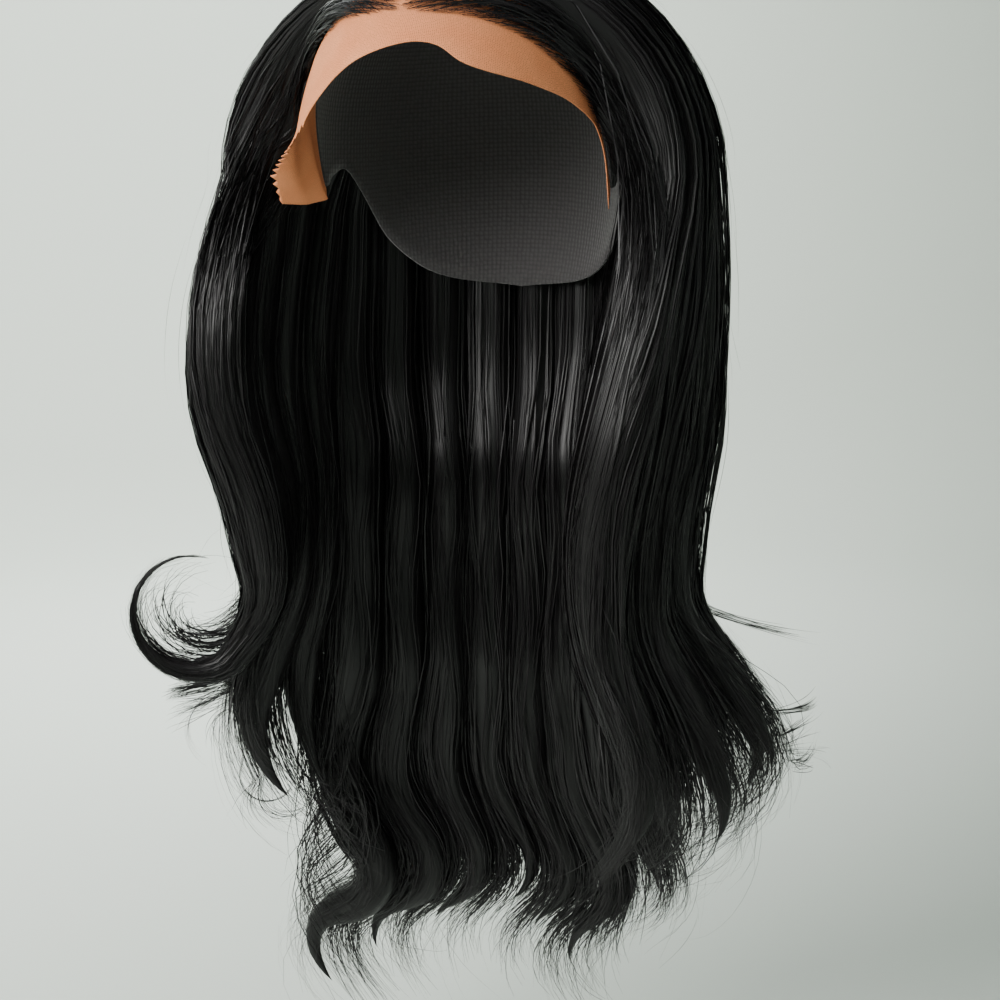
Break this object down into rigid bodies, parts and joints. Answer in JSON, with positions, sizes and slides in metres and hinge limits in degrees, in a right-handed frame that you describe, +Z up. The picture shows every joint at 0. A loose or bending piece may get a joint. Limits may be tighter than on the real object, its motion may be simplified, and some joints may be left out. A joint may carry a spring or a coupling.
{
  "type": "lace front wig",
  "caption": "Long black body-wave lace front wig: centre parting, waved locks in five masses, sheer tan lace panel with a loose temple end, cloth cap open for the head",
  "frame": {"origin": "inside of the cap at its crown, on the middle line, where the wig sits on a head", "axes": "+Z up, -Y towards the face, +X towards the wearer's left"},
  "size_m": [0.3455, 0.2298, 0.6327],
  "materials": {
    "hair": "glossy near-black hair",
    "lace": "sheer tan net",
    "cap_cloth": "matt black stretch cloth"
  },
  "bodies": {
    "root": {"lace_front": "lace", "wig_cap": "cap_cloth", "hair_front_right": "hair", "hair_front_left": "hair", "hair_back_right": "hair", "hair_back_centre": "hair", "hair_back_left": "hair"}
  },
  "joints": []
}
